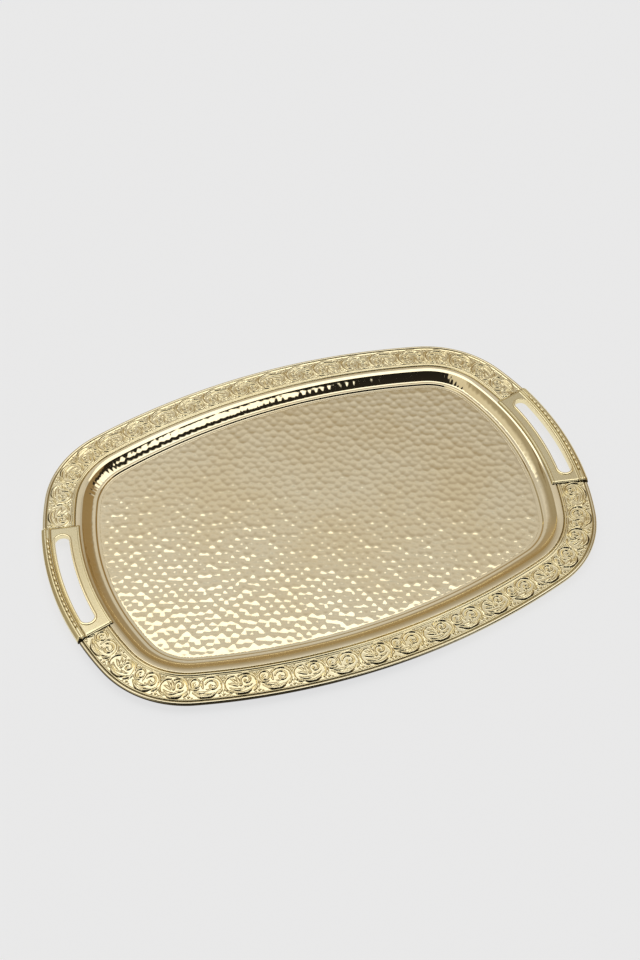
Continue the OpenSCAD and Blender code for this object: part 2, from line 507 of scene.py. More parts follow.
def settled(obj: Object) -> Object:
    """Keeps what an object's modifiers make as its own plain mesh.

    Args:
        obj: an object with modifiers.

    Returns:
        The same object, with its new mesh and no modifier.
    """
    bpy.context.view_layer.update()
    graph = bpy.context.evaluated_depsgraph_get()
    old, source = obj.data, obj.evaluated_get(graph)
    obj.data = bpy.data.meshes.new_from_object(source, preserve_all_data_layers=True, depsgraph=graph)
    obj.modifiers.clear()
    obj.data.name = old.name + "_made"
    bpy.data.meshes.remove(old)
    obj.data.shade_smooth()
    return obj


def apply_tree(obj: Object, tree: Tree, values: dict[str, object]) -> Object:
    """Runs a geometry tree on an object once and keeps the result as a plain mesh.

    Args:
        obj: the object that carries the tree's starting mesh.
        tree: the geometry tree.
        values: input name to its value.

    Returns:
        The same object, with its new mesh and no modifier.
    """
    modifier = obj.modifiers.new(tree.name, "NODES")
    modifier.node_group = tree
    for item in tree.interface.items_tree:
        if item.item_type == "SOCKET" and item.in_out == "INPUT" and item.name in values:
            modifier[item.identifier] = values[item.name]
    obj.update_tag()
    return settled(obj)


def along_path_tree() -> Tree:
    """Repeats a straight motif and bends the row onto a path.

    Returns:
        A geometry tree. The motif runs along X, with -Y inwards from the path.
    """
    tree, w, given, result = open_group(
        "repeat_along_path",
        "GeometryNodeTree",
        {
            "Geometry": (GEOMETRY, None),
            "Path": (OBJECT, None),
            "Count": (INTEGER, 10),
            "Pitch": (FLOAT, 0.05),
            "Start": (FLOAT, 0.0),
            "Weld": (FLOAT, 0.00001),
            "Material": (MATERIAL, None),
        },
        {"Geometry": GEOMETRY},
    )
    line = w.add(
        "GeometryNodeMeshLine",
        {"Count": given["Count"], "Start Location": w.xyz(given["Start"]), "Offset": w.xyz(given["Pitch"])},
        mode="OFFSET",
    )
    row = w.add("GeometryNodeInstanceOnPoints", {"Points": line.outputs[0], "Instance": given["Geometry"]})
    real = w.add("GeometryNodeRealizeInstances", {"Geometry": row.outputs[0]})
    welded = w.add("GeometryNodeMergeByDistance", {"Geometry": real.outputs[0], "Distance": given["Weld"]})
    place = w.add("ShaderNodeSeparateXYZ", {0: w.add("GeometryNodeInputPosition").outputs[0]}).outputs
    path = w.add("GeometryNodeObjectInfo", {"Object": given["Path"]}).outputs["Geometry"]
    sample = w.add(
        "GeometryNodeSampleCurve", {"Curves": path, "Length": place["X"]}, mode="LENGTH", use_all_curves=True
    ).outputs
    outward = w.vectors("CROSS_PRODUCT", sample["Tangent"], (0.0, 0.0, 1.0))
    aside = w.vectors("ADD", sample["Position"], w.scaled(outward, place["Y"]))
    target = w.vectors("ADD", aside, w.xyz(z=place["Z"]))
    bent = w.add("GeometryNodeSetPosition", {"Geometry": welded.outputs[0], "Position": target})
    dressed = w.add("GeometryNodeSetMaterial", {"Geometry": bent.outputs[0], "Material": given["Material"]})
    w.feed(result[0], dressed.outputs[0])
    return tree


def hammer_tree() -> Tree:
    """Presses rows of overlapping round dents into a surface.

    Returns:
        A geometry tree. It reads mark_at, where each vertex lies among the blows, and mark_depth, the
        share of the full depth that it gets.
    """
    tree, w, given, result = open_group(
        "hammer_marks",
        "GeometryNodeTree",
        {
            "Geometry": (GEOMETRY, None),
            "Pitch": (FLOAT, 0.008),
            "Row Pitch": (FLOAT, 0.007),
            "Columns": (INTEGER, 40),
            "Rows": (INTEGER, 30),
            "Centre X": (FLOAT, 0.0),
            "Centre Y": (FLOAT, 0.0),
            "Turn": (FLOAT, 0.0),
            "Jitter": (FLOAT, 0.001),
            "Reach": (FLOAT, 0.005),
            "Depth": (FLOAT, 0.0003),
            "Seed": (INTEGER, 7),
            "Material": (MATERIAL, None),
        },
        {"Geometry": GEOMETRY},
    )
    columns, rows = given["Columns"], given["Rows"]
    index = w.add("GeometryNodeInputIndex").outputs[0]
    column = w.maths("FLOOR", w.maths("DIVIDE", w.maths("ADD", index, 0.5), rows))
    row = w.maths("SUBTRACT", index, w.maths("MULTIPLY", column, rows))
    half_step = w.maths("MULTIPLY", w.maths("MODULO", row, 2.0), 0.5)
    x = w.maths("SUBTRACT", w.maths("ADD", column, half_step), w.maths("MULTIPLY", columns, 0.5))
    y = w.maths("SUBTRACT", row, w.maths("MULTIPLY", rows, 0.5))
    x = w.maths("ADD", w.maths("MULTIPLY", x, given["Pitch"]), given["Centre X"])
    y = w.maths("ADD", w.maths("MULTIPLY", y, given["Row Pitch"]), given["Centre Y"])
    regular = w.add(
        "ShaderNodeVectorRotate", {"Vector": w.xyz(x, y), "Angle": given["Turn"]}, rotation_type="Z_AXIS"
    ).outputs[0]
    chance = w.add(
        "FunctionNodeRandomValue",
        {0: (-1.0, -1.0, 0.0), 1: (1.0, 1.0, 0.0), "Seed": given["Seed"]},
        data_type="FLOAT_VECTOR",
    )
    grid = w.add("GeometryNodeMeshGrid", {"Vertices X": columns, "Vertices Y": rows}).outputs[0]
    strayed = w.vectors("ADD", regular, w.scaled(chance.outputs[0], given["Jitter"]))
    blows = w.add("GeometryNodeSetPosition", {"Geometry": grid, "Position": strayed}).outputs[0]
    where, mask = (
        w.add("GeometryNodeInputNamedAttribute", {"Name": name}, data_type=kind).outputs[0]
        for name, kind in (("mark_at", "FLOAT_VECTOR"), ("mark_depth", "FLOAT"))
    )
    near = w.add("GeometryNodeProximity", {0: blows, "Sample Position": where}, target_element="POINTS")
    share = w.maths("DIVIDE", near.outputs["Distance"], given["Reach"], clamp=True)
    height = w.maths("MULTIPLY", w.maths("MULTIPLY", share, share), given["Depth"])
    height = w.maths("MULTIPLY", height, mask)
    lift = w.scaled(w.add("GeometryNodeInputNormal").outputs[0], height)
    dented = w.add("GeometryNodeSetPosition", {"Geometry": given["Geometry"], "Offset": lift})
    real = w.add("GeometryNodeRealizeInstances", {"Geometry": dented.outputs[0]})
    dressed = w.add("GeometryNodeSetMaterial", {"Geometry": real.outputs[0], "Material": given["Material"]})
    w.feed(result[0], dressed.outputs[0])
    return tree


def repeat_along(
    obj: Object, tree: Tree, points: Array, count: int, pitch: float, weld: float, material: Material
) -> None:
    """Repeats a straight motif along an open line.

    Args:
        obj: the motif, which becomes the whole row.
        tree: the tree that repeats along a path.
        points: the line, of shape (n, 2), at height zero.
        count: number of repeats.
        pitch: length of one repeat along the line.
        weld: distance within which vertices are joined.
        material: the row's finish.
    """
    curve = bpy.data.curves.new("path", "CURVE")
    curve.dimensions = "3D"
    spline = curve.splines.new("POLY")
    spline.points.add(len(points) - 1)
    rows = np.column_stack([points, np.zeros(len(points)), np.ones(len(points))])
    spline.points.foreach_set("co", rows.ravel())
    path = bpy.data.objects.new("path", curve)
    bpy.context.scene.collection.objects.link(path)
    values = {"Path": path, "Count": count, "Pitch": pitch, "Start": 0.0, "Weld": weld, "Material": material}
    apply_tree(obj, tree, values)
    bpy.data.objects.remove(path)


# ---------------------------------------------------------------- finishes


class Effects:
    """Shader node groups that several finishes share."""

    def __init__(self) -> None:
        """Builds each group once."""
        self.mottle = self._mottle()
        self.scratches = self._scratches()
        self.specks = self._specks()
        self.grain = self._grain()

    def _mottle(self) -> Tree:
        """Slow change between a pale and a warm tone, as on handled brass.

        Returns:
            A group from two colours and a scale to the tone and its mask.
        """
        tree, w, given, result = open_group(
            "mottled_tone",
            "ShaderNodeTree",
            {"Pale": (COLOUR, None), "Warm": (COLOUR, None), "Scale": (FLOAT, 12.0)},
            {"Color": COLOUR, "Mask": FLOAT},
        )
        place = w.add("ShaderNodeTexCoord").outputs["Object"]
        broad, fine = w.noise(place, given["Scale"], 3.0), w.noise(place, 420.0, 3.0)
        mask = w.ramp(w.total(broad, 0.75, fine, 0.25), 0.32, 0.68)
        w.feed(result["Color"], w.mix(mask, given["Pale"], given["Warm"]))
        w.feed(result["Mask"], mask)
        return tree

    def _scratches(self) -> Tree:
        """Hair scratches in two directions.

        Returns:
            A group from an amount to a mask.
        """
        tree, w, given, result = open_group(
            "hair_scratches", "ShaderNodeTree", {"Amount": (FLOAT, 0.5)}, {"Mask": FLOAT}
        )
        place = w.add("ShaderNodeTexCoord").outputs["Object"]
        masks = []
        for turn, stretch in ((0.5, (40.0, 2600.0, 300.0)), (-0.9, (2300.0, 50.0, 300.0))):
            settings = {"Vector": place, "Rotation": (0.0, 0.0, turn), "Scale": stretch}
            turned = w.add("ShaderNodeMapping", settings).outputs[0]
            masks.append(w.ramp(w.noise(turned, 1.0, 1.0), 0.64, 0.74))
        w.feed(result["Mask"], w.maths("MULTIPLY", w.maths("MAXIMUM", *masks), given["Amount"]))
        return tree

    def _specks(self) -> Tree:
        """Sparse small dark spots of tarnish.

        Returns:
            A group from a scale and a share of cells to a mask.
        """
        tree, w, given, result = open_group(
            "tarnish_specks",
            "ShaderNodeTree",
            {"Scale": (FLOAT, 260.0), "Share": (FLOAT, 0.25)},
            {"Mask": FLOAT},
        )
        place = w.add("ShaderNodeTexCoord").outputs["Object"]
        cell = w.add("ShaderNodeTexVoronoi", {"Vector": place, "Scale": given["Scale"]})
        chosen = w.add("ShaderNodeSeparateColor", {0: cell.outputs["Color"]}).outputs[0]
        small = w.ramp(cell.outputs["Distance"], 0.05, 0.13, falling=True)
        rare = w.maths("LESS_THAN", chosen, given["Share"])
        w.feed(result["Mask"], w.maths("MULTIPLY", small, rare))
        return tree

    def _grain(self) -> Tree:
        """Fine pounced or cast grain, as a height.

        Returns:
            A group from a scale to a height.
        """
        tree, w, given, result = open_group(
            "fine_grain", "ShaderNodeTree", {"Scale": (FLOAT, 1500.0)}, {"Height": FLOAT}
        )
        place = w.add("ShaderNodeTexCoord").outputs["Object"]
        dots = w.add("ShaderNodeTexVoronoi", {"Vector": place, "Scale": given["Scale"]}).outputs["Distance"]
        w.feed(result["Height"], w.total(dots, 0.6, w.noise(place, given["Scale"]), 0.4))
        return tree


@dataclass(frozen=True)
class MetalFinish:
    """A metal surface with its own tone, polish and wear, and painted shade from its relief attribute.

    Attributes:
        name: the finish's name.
        pale: colour of the brighter areas.
        warm: colour of the warmer areas.
        tarnish_and_shade: colour of tarnish spots, and of the relief attribute's tarnish and painted shade.
        roughness: mean roughness.
        unevenness: how much the roughness changes over the surface.
        grain_depth: height of the fine grain, in metres.
        grain_scale: number of grains in a metre.
        hollow: how fully the relief attribute's tarnish and painted shade darken the metal, zero if none.
        specks: share of cells with a spot of tarnish.
        scratch: strength of the hair scratches.
        spot_cover: how fully a spot of tarnish hides the metal.
        scratch_rough: roughness that a scratch adds.
        scratch_cut: depth of a scratch, as a share of the grain's.
        hollow_rough: roughness that the relief attribute's tarnish and painted shade add.
    """

    name: str
    pale: Colour
    warm: Colour
    tarnish_and_shade: Colour
    roughness: float = 0.2
    unevenness: float = 0.08
    grain_depth: float = 0.00001
    grain_scale: float = 1500.0
    hollow: float = 0.0
    specks: float = 0.1
    scratch: float = 0.4
    spot_cover: float = 0.8
    scratch_rough: float = 0.12
    scratch_cut: float = 0.4
    hollow_rough: float = 0.2

    def build(self, effects: Effects) -> Material:
        """Makes the material.

        Args:
            effects: the shared node groups.

        Returns:
            A new material.
        """
        material = bpy.data.materials.new(self.name)
        material.use_nodes = True
        tree = material.node_tree
        tree.nodes.clear()
        w = Wiring(tree)
        tone = w.add("ShaderNodeGroup", {"Pale": self.pale, "Warm": self.warm}, node_tree=effects.mottle)
        spots = w.add("ShaderNodeGroup", {"Share": self.specks}, node_tree=effects.specks)
        lines = w.add("ShaderNodeGroup", {"Amount": self.scratch}, node_tree=effects.scratches)
        grain = w.add("ShaderNodeGroup", {"Scale": self.grain_scale}, node_tree=effects.grain)
        scratched = lines.outputs["Mask"]
        cover = w.maths("MULTIPLY", spots.outputs["Mask"], self.spot_cover)
        colour = w.mix(cover, tone.outputs["Color"], self.tarnish_and_shade)
        rough = w.maths("MULTIPLY", tone.outputs["Mask"], self.unevenness)
        rough = w.maths("ADD", rough, self.roughness - self.unevenness / 2)
        rough = w.maths("ADD", rough, w.maths("MULTIPLY", scratched, self.scratch_rough), clamp=True)
        # Painted shade from the relief attribute: undercuts, pits, seam ends, roll underside; hollows partly
        # tarnish too.
        if self.hollow:
            relief = w.add("ShaderNodeAttribute", attribute_name="relief").outputs["Fac"]
            low = w.maths("MULTIPLY", relief, self.hollow, clamp=True)
            colour = w.mix(low, colour, self.tarnish_and_shade)
            rough = w.maths("ADD", rough, w.maths("MULTIPLY", low, self.hollow_rough), clamp=True)
        cut = w.maths("MULTIPLY", scratched, self.scratch_cut)
        height = w.maths("SUBTRACT", grain.outputs["Height"], cut)
        bump = w.add("ShaderNodeBump", {"Height": height, "Distance": self.grain_depth, "Strength": 1.0})
        shader = w.add(
            "ShaderNodeBsdfPrincipled",
            {"Base Color": colour, "Roughness": rough, "Metallic": 1.0, "Normal": bump.outputs[0]},
        )
        w.add("ShaderNodeOutputMaterial", {"Surface": shader.outputs[0]})
        return material


@dataclass
class Palette:
    """All the finishes of the tray."""

    effects: Effects

    def __post_init__(self) -> None:
        """Builds every material."""
        pale, warm = (0.91, 0.81, 0.55), (0.87, 0.74, 0.46)
        rich, deep = (0.98, 0.88, 0.565), (0.94, 0.81, 0.475)
        grip, worn = (0.90, 0.82, 0.52), (0.78, 0.67, 0.39)
        dark, black = (0.16, 0.11, 0.05), (0.05, 0.036, 0.016)
        make = self._make
        self.floor = make(
            "hammered_floor", pale, warm, dark, roughness=0.08, unevenness=0.04, grain_depth=2e-6, specks=0.01
        )
        self.wall = make(
            "polished_wall", pale, warm, dark, roughness=0.06, unevenness=0.03, grain_depth=1e-6, specks=0.02
        )
        self.back = make(
            "dull_underside", (0.72, 0.60, 0.36), (0.62, 0.48, 0.26), dark,
            roughness=0.34, unevenness=0.16, specks=0.3,
        )
        # The border's dark colour goes in by its relief attribute, as tarnish and painted shade in the
        # ornament.
        self.border = make(
            "embossed_border", rich, deep, black,
            roughness=0.12, unevenness=0.05, grain_depth=3e-6, hollow=1.0, specks=0.02,
        )
        # The handle's dark colour goes in by its relief attribute, as painted shade at the seam ends.
        self.handle = make(
            "grained_handle", grip, worn, black,
            roughness=0.17, grain_depth=1.2e-5, grain_scale=1100, hollow=1.0, specks=0.03,
        )
        self.trim = make("bright_trim", rich, deep, dark, roughness=0.14, unevenness=0.06, grain_depth=2e-6)
        # The roll's dark colour goes in by its relief attribute, as painted shade under the edge.
        self.roll = make(
            "rolled_edge", (0.80, 0.72, 0.49), (0.76, 0.66, 0.42), black,
            roughness=0.14, unevenness=0.05, grain_depth=2e-6, hollow=1.0,
        )
        self.screw = make("turned_screw", (0.70, 0.56, 0.32), (0.60, 0.46, 0.24), dark, roughness=0.3)
        self.steel = make(
            "drawn_steel", (0.56, 0.56, 0.57), (0.44, 0.43, 0.42), (0.12, 0.09, 0.07),
            roughness=0.35, grain_depth=4e-6,
        )

    def _make(self, name: str, pale: Colour, warm: Colour, tarnish_and_shade: Colour, **rest: float) -> Material:
        """Builds one material from its colours and the rest of its numbers."""
        return MetalFinish(name, pale, warm, tarnish_and_shade, **rest).build(self.effects)


def dress(obj: Object, material: Material) -> None:
    """Gives a piece one material."""
    obj.data.materials.clear()
    obj.data.materials.append(material)


def place_piece(obj: Object, nodes: Sequence[str]) -> None:
    """Puts a piece on the frame.

    Args:
        obj: the piece.
        nodes: the CAD nodes that it stands for.
    """
    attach(obj, ROOT)
    if nodes:
        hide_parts(*nodes)
    LOG.info("%s: %d faces", obj.name, len(obj.data.polygons))


# ---------------------------------------------------------------- pan


@dataclass(frozen=True)
class Blows:
    """A field of hammer blows in rows.

    Attributes:
        pitch: distance between blows in a row.
        row: distance between rows.
        jitter: how far a blow strays from its place.
        reach: radius of a dent.
        depth: depth of a dent.
        seed: seed of the straying.
    """

    pitch: float
    row: float
    jitter: float
    reach: float
    depth: float
    seed: int

    def press(
        self, obj: Object, tree: Tree, counts: tuple[int, int], material: Material, place: dict[str, float]
    ) -> Object:
        """Presses the dents into a piece.

        Args:
            obj: the piece, with the attributes that the tree reads.
            tree: the tree of hammer marks.
            counts: blows in a row and number of rows.
            material: the piece's finish.
            place: turn and centre of the field, by the tree's input names.

        Returns:
            The piece with its dents.
        """
        columns, rows = counts
        values = {
            "Pitch": self.pitch, "Row Pitch": self.row, "Columns": columns, "Rows": rows, "Seed": self.seed,
            "Jitter": self.jitter, "Reach": self.reach, "Depth": self.depth, "Material": material,
        }
        return apply_tree(obj, tree, values | place)


@dataclass
class Pan:
    """The hammered sheet: floor, step, wall, ledge, flange and rolled edge.

    Attributes:
        outline: the tray's outline.
        palette: the finishes.
        hammer: the tree of hammer marks.
        sheet: thickness of the sheet.
        flange_z: height of the flange's upper face.
        ledge_z: height of the ledge inside the border.
        lip: inset of the wall's upper end.
        lip_z: its height.
        foot: inset of the wall's foot.
        foot_z: its height.
        margin: inset of the floor's margin, inside the step at the foot.
        roll_r: radius of the rolled edge.
        roll_inner_r: radius inside the roll, over the wire.
        floor_turn: angle of the floor's rows of blows.
        floor_blows: the floor's hammer marks.
        wall_blows: the wall's hammer marks.
        wall_rows: rows of blows on the wall.
        wall_blow_stretch: how far the wall's dents are drawn out downwards, as a factor on the distance.
        wall_blow_y: middle of the wall's rows, over the section.
        marked_until: inset at which the wall's marks end.
        floor_fade: distance within which the floor's marks rise from its edge.
    """

    outline: Outline
    palette: Palette
    hammer: Tree
    sheet: float = 0.9 * MM
    flange_z: float = 8.0 * MM
    ledge_z: float = 9.2 * MM
    lip: float = 32.6 * MM
    lip_z: float = 8.4 * MM
    foot: float = 40.8 * MM
    foot_z: float = 2.4 * MM
    margin: float = 46.2 * MM
    roll_r: float = 1.6 * MM
    roll_inner_r: float = 0.95 * MM
    floor_turn: float = math.radians(-16)
    floor_blows: Blows = Blows(7.9 * MM, 7.9 * MM * 0.74, 7.9 * MM * 0.22, 7.9 * MM * 0.6, 0.26 * MM, 11)
    wall_blows: Blows = Blows(6.2 * MM, 4.4 * MM, 1.5 * MM, 3.7 * MM, 0.19 * MM, 12)
    wall_rows: int = 6
    wall_blow_stretch: float = 0.35
    wall_blow_y: float = 5.0 * MM
    marked_until: float = 41.2 * MM
    floor_fade: float = 3.5 * MM

    @property
    def floor_edge(self) -> float:
        """Inset of the floor's edge, a little under the margin."""
        return self.margin - 0.2 * MM

    def _floor_depth(self, points: Array) -> Array:
        """How far points lie inside the floor's edge."""
        return self.outline.inset_of(points) - self.floor_edge

    def _half_size(self, cell: float) -> Point2:
        """Half of the floor's length and width, and one cell more."""
        return self.outline.half_l - self.floor_edge + cell, self.outline.half_w - self.floor_edge + cell

    def _sheet(self, cell: float) -> tuple[Array, Array]:
        """The floor's flat outline in cells of a given size, as points and quads.

        Args:
            cell: size of the cells.

        Returns:
            Points of shape (n, 2), and quads.
        """
        x, y = (np.linspace(-h, h, int(round(2 * h / cell)) + 1) for h in self._half_size(cell))
        points = np.stack(np.meshgrid(x, y, indexing="ij"), -1)
        flat, faces = trimmed_sheet(points, self._floor_depth, cell)
        return compact(flat, faces)

    def _wall_line(self) -> tuple[Array, Array]:
        """Points down the wall, steep at the top and easing towards its foot, and the slope at each.

        Returns:
            Points of shape (n, 2), and slopes in radians.
        """
        share = np.linspace(0, 1, 19)
        slope = np.radians(np.interp(share, [0, 0.1, 0.55, 0.85, 1], [53.5, 46, 33, 26, 3]))
        inset = self.lip + (self.foot - self.lip) * share
        fall = np.concatenate([[0], np.cumsum((np.tan(slope[1:]) + np.tan(slope[:-1])) / 2 * np.diff(inset))])
        height = self.lip_z - fall * (self.lip_z - self.foot_z) / fall[-1]
        return np.column_stack([inset, height]), slope

    def _rim_section(self) -> tuple[list[Point2], list[Point2]]:
        """Upper and lower line of the section from the flange's step to the floor's margin.

        Returns:
            The upper and the lower line, both walked inwards.
        """
        mm, t, step_z, ledge_z = MM, self.sheet, self.flange_z, self.ledge_z
        wall, slope = self._wall_line()
        below = wall - t * np.column_stack([np.sin(slope), np.cos(slope)])
        upper = [
            (26.9 * mm, step_z), (27.2 * mm, step_z), (27.5 * mm, ledge_z),
            (29.8 * mm, ledge_z - 0.2 * mm), (31.2 * mm, ledge_z - 0.42 * mm),
            *(tuple(p) for p in wall),
            (41.5 * mm, 2.39 * mm), (42.5 * mm, 2.38 * mm), (42.95 * mm, 2.28 * mm), (44.0 * mm, 0.97 * mm),
            (44.5 * mm, 0.92 * mm), (self.margin, t), (self.margin + 0.4 * mm, t),
        ]
        lower = [
            (26.9 * mm, step_z - t), (28.2 * mm, step_z - t),
            (28.6 * mm, ledge_z - t), (31.0 * mm, ledge_z - t - 0.4 * mm),
            *(tuple(p) for p in below[::2]),
            (42.6 * mm, 1.4 * mm), (43.9 * mm, 0.02 * mm), (self.margin + 0.4 * mm, 0.0),
        ]
        return rounded(upper, 0.35 * mm, 3), rounded(lower, 0.6 * mm, 2)

    def build_rim(self) -> Object:
        """Ledge, wall, step and margin, round the whole tray, with faint marks on the wall.

        Returns:
            The finished piece.
        """
        upper, lower = self._rim_section()
        section = upper + lower[::-1]
        s = stations(0, self.outline.length, 1.42 * MM)[:-1]
        obj = sweep("pan_wall", self.outline, section, s, True, self.wall_blow_stretch)
        inset = np.array(section)[:, 0]
        on_top = np.arange(len(section)) < len(upper)
        begin = np.clip((inset - self.lip + 0.2 * MM) / (1.4 * MM), 0, 1)
        end = np.clip((self.marked_until - inset) / (1.6 * MM), 0, 1)
        centre, _ = self.outline.at(s)
        harder = np.clip(0.2 + (centre[:, 1] + 30 * MM) / (110 * MM), 0.2, 1)
        set_attribute(obj, "mark_depth", "FLOAT", (harder[:, None] * (begin * end * on_top)[None, :]).ravel())
        counts = (int(self.outline.length / self.wall_blows.pitch) + 6, self.wall_rows)
        place = {"Centre X": self.outline.length / 2, "Centre Y": self.wall_blow_y}
        return self.wall_blows.press(obj, self.hammer, counts, self.palette.wall, place)

    def build_floor(self) -> Object:
        """The hammered upper face of the floor.

        Returns:
            The finished piece.
        """
        cell = 1.0 * MM
        flat, faces = self._sheet(cell)
        depth = self._floor_depth(flat)
        verts = np.column_stack([flat, np.where(depth < 0.3 * MM, self.sheet - 0.05 * MM, self.sheet)])
        obj = new_object("pan_floor", verts, faces)
        set_attribute(obj, "mark_at", "FLOAT_VECTOR", np.column_stack([flat, np.zeros(len(flat))]))
        set_attribute(obj, "mark_depth", "FLOAT", np.clip(depth / self.floor_fade, 0, 1))
        blows, reach = self.floor_blows, 2 * math.hypot(*self._half_size(cell))
        counts = (int(reach / blows.pitch) + 4, int(reach / blows.row) + 4)
        return blows.press(obj, self.hammer, counts, self.palette.floor, {"Turn": self.floor_turn})

    def build_underside(self) -> Object:
        """The flat face that the tray stands on.

        Returns:
            The finished piece.
        """
        flat, faces = self._sheet(3.0 * MM)
        verts = np.column_stack([flat, np.full(len(flat), 0.01 * MM)])
        obj = new_object("pan_underside", verts, faces[:, ::-1])
        dress(obj, self.palette.back)
        return obj

    def build_flange(self, half: Half) -> Object:
        """Flange under a border strip, with its edge rolled over the wire.

        Args:
            half: the long half that it lies on.

        Returns:
            The finished piece.
        """
        r, z, low = self.roll_r, self.flange_z - 0.5 * MM, self.flange_z - self.sheet
        turns = np.radians(np.linspace(325, 18, 26))
        curl, inside = (
            [(r + radius * math.cos(t), z + radius * math.sin(t)) for t in course]
            for radius, course in ((r, turns), (self.roll_inner_r, turns[::-1]))
        )
        top, end = self.flange_z, 27.1 * MM
        section = [*curl, (3.4 * MM, top), (end, top), (end, low), (3.0 * MM, low), *inside]
        start, run = self.outline.half_run(half)
        s = stations(start, start + run, 1.5 * MM)
        obj = sweep(f"pan_flange_{half.value}", self.outline, section, s, False)
        # Painted shade under the roll: full on the front half's left part, fading to a tenth rightwards and
        # on the rear.
        under = np.clip((8.95 * MM - np.array(section)[:, 1]) / (0.6 * MM), 0, 1)
        along = np.full(len(s), 0.1)
        if half is Half.FRONT:
            along = np.clip(1 - (s - 0.75 * self.outline.length) / (90 * MM), 0.1, 1)
        set_attribute(obj, "relief", "FLOAT", (along[:, None] * under[None, :]).ravel())
        dress(obj, self.palette.roll)
        return obj

    def build(self) -> None:
        """Builds and places every piece of the pan."""
        pieces = [self.build_floor(), self.build_rim(), self.build_underside()]
        pieces += [self.build_flange(half) for half in Half]
        for obj in pieces:
            place_piece(obj, ["pan"])


# ---------------------------------------------------------------- embossed border


class Mark(Enum):
    """What a stroke of the ornament does to the strip."""

    RIDGE = 1
    GROOVE = 2
    # SHADE paints shade into the colour of undercuts and pits, and lowers them a little.
    SHADE = 3


@dataclass
class Stroke:
    """One line of the ornament: its course, its half width and how high, deep or dark it is."""

    points: Array
    width: Array
    amount: float
    mark: Mark = Mark.RIDGE


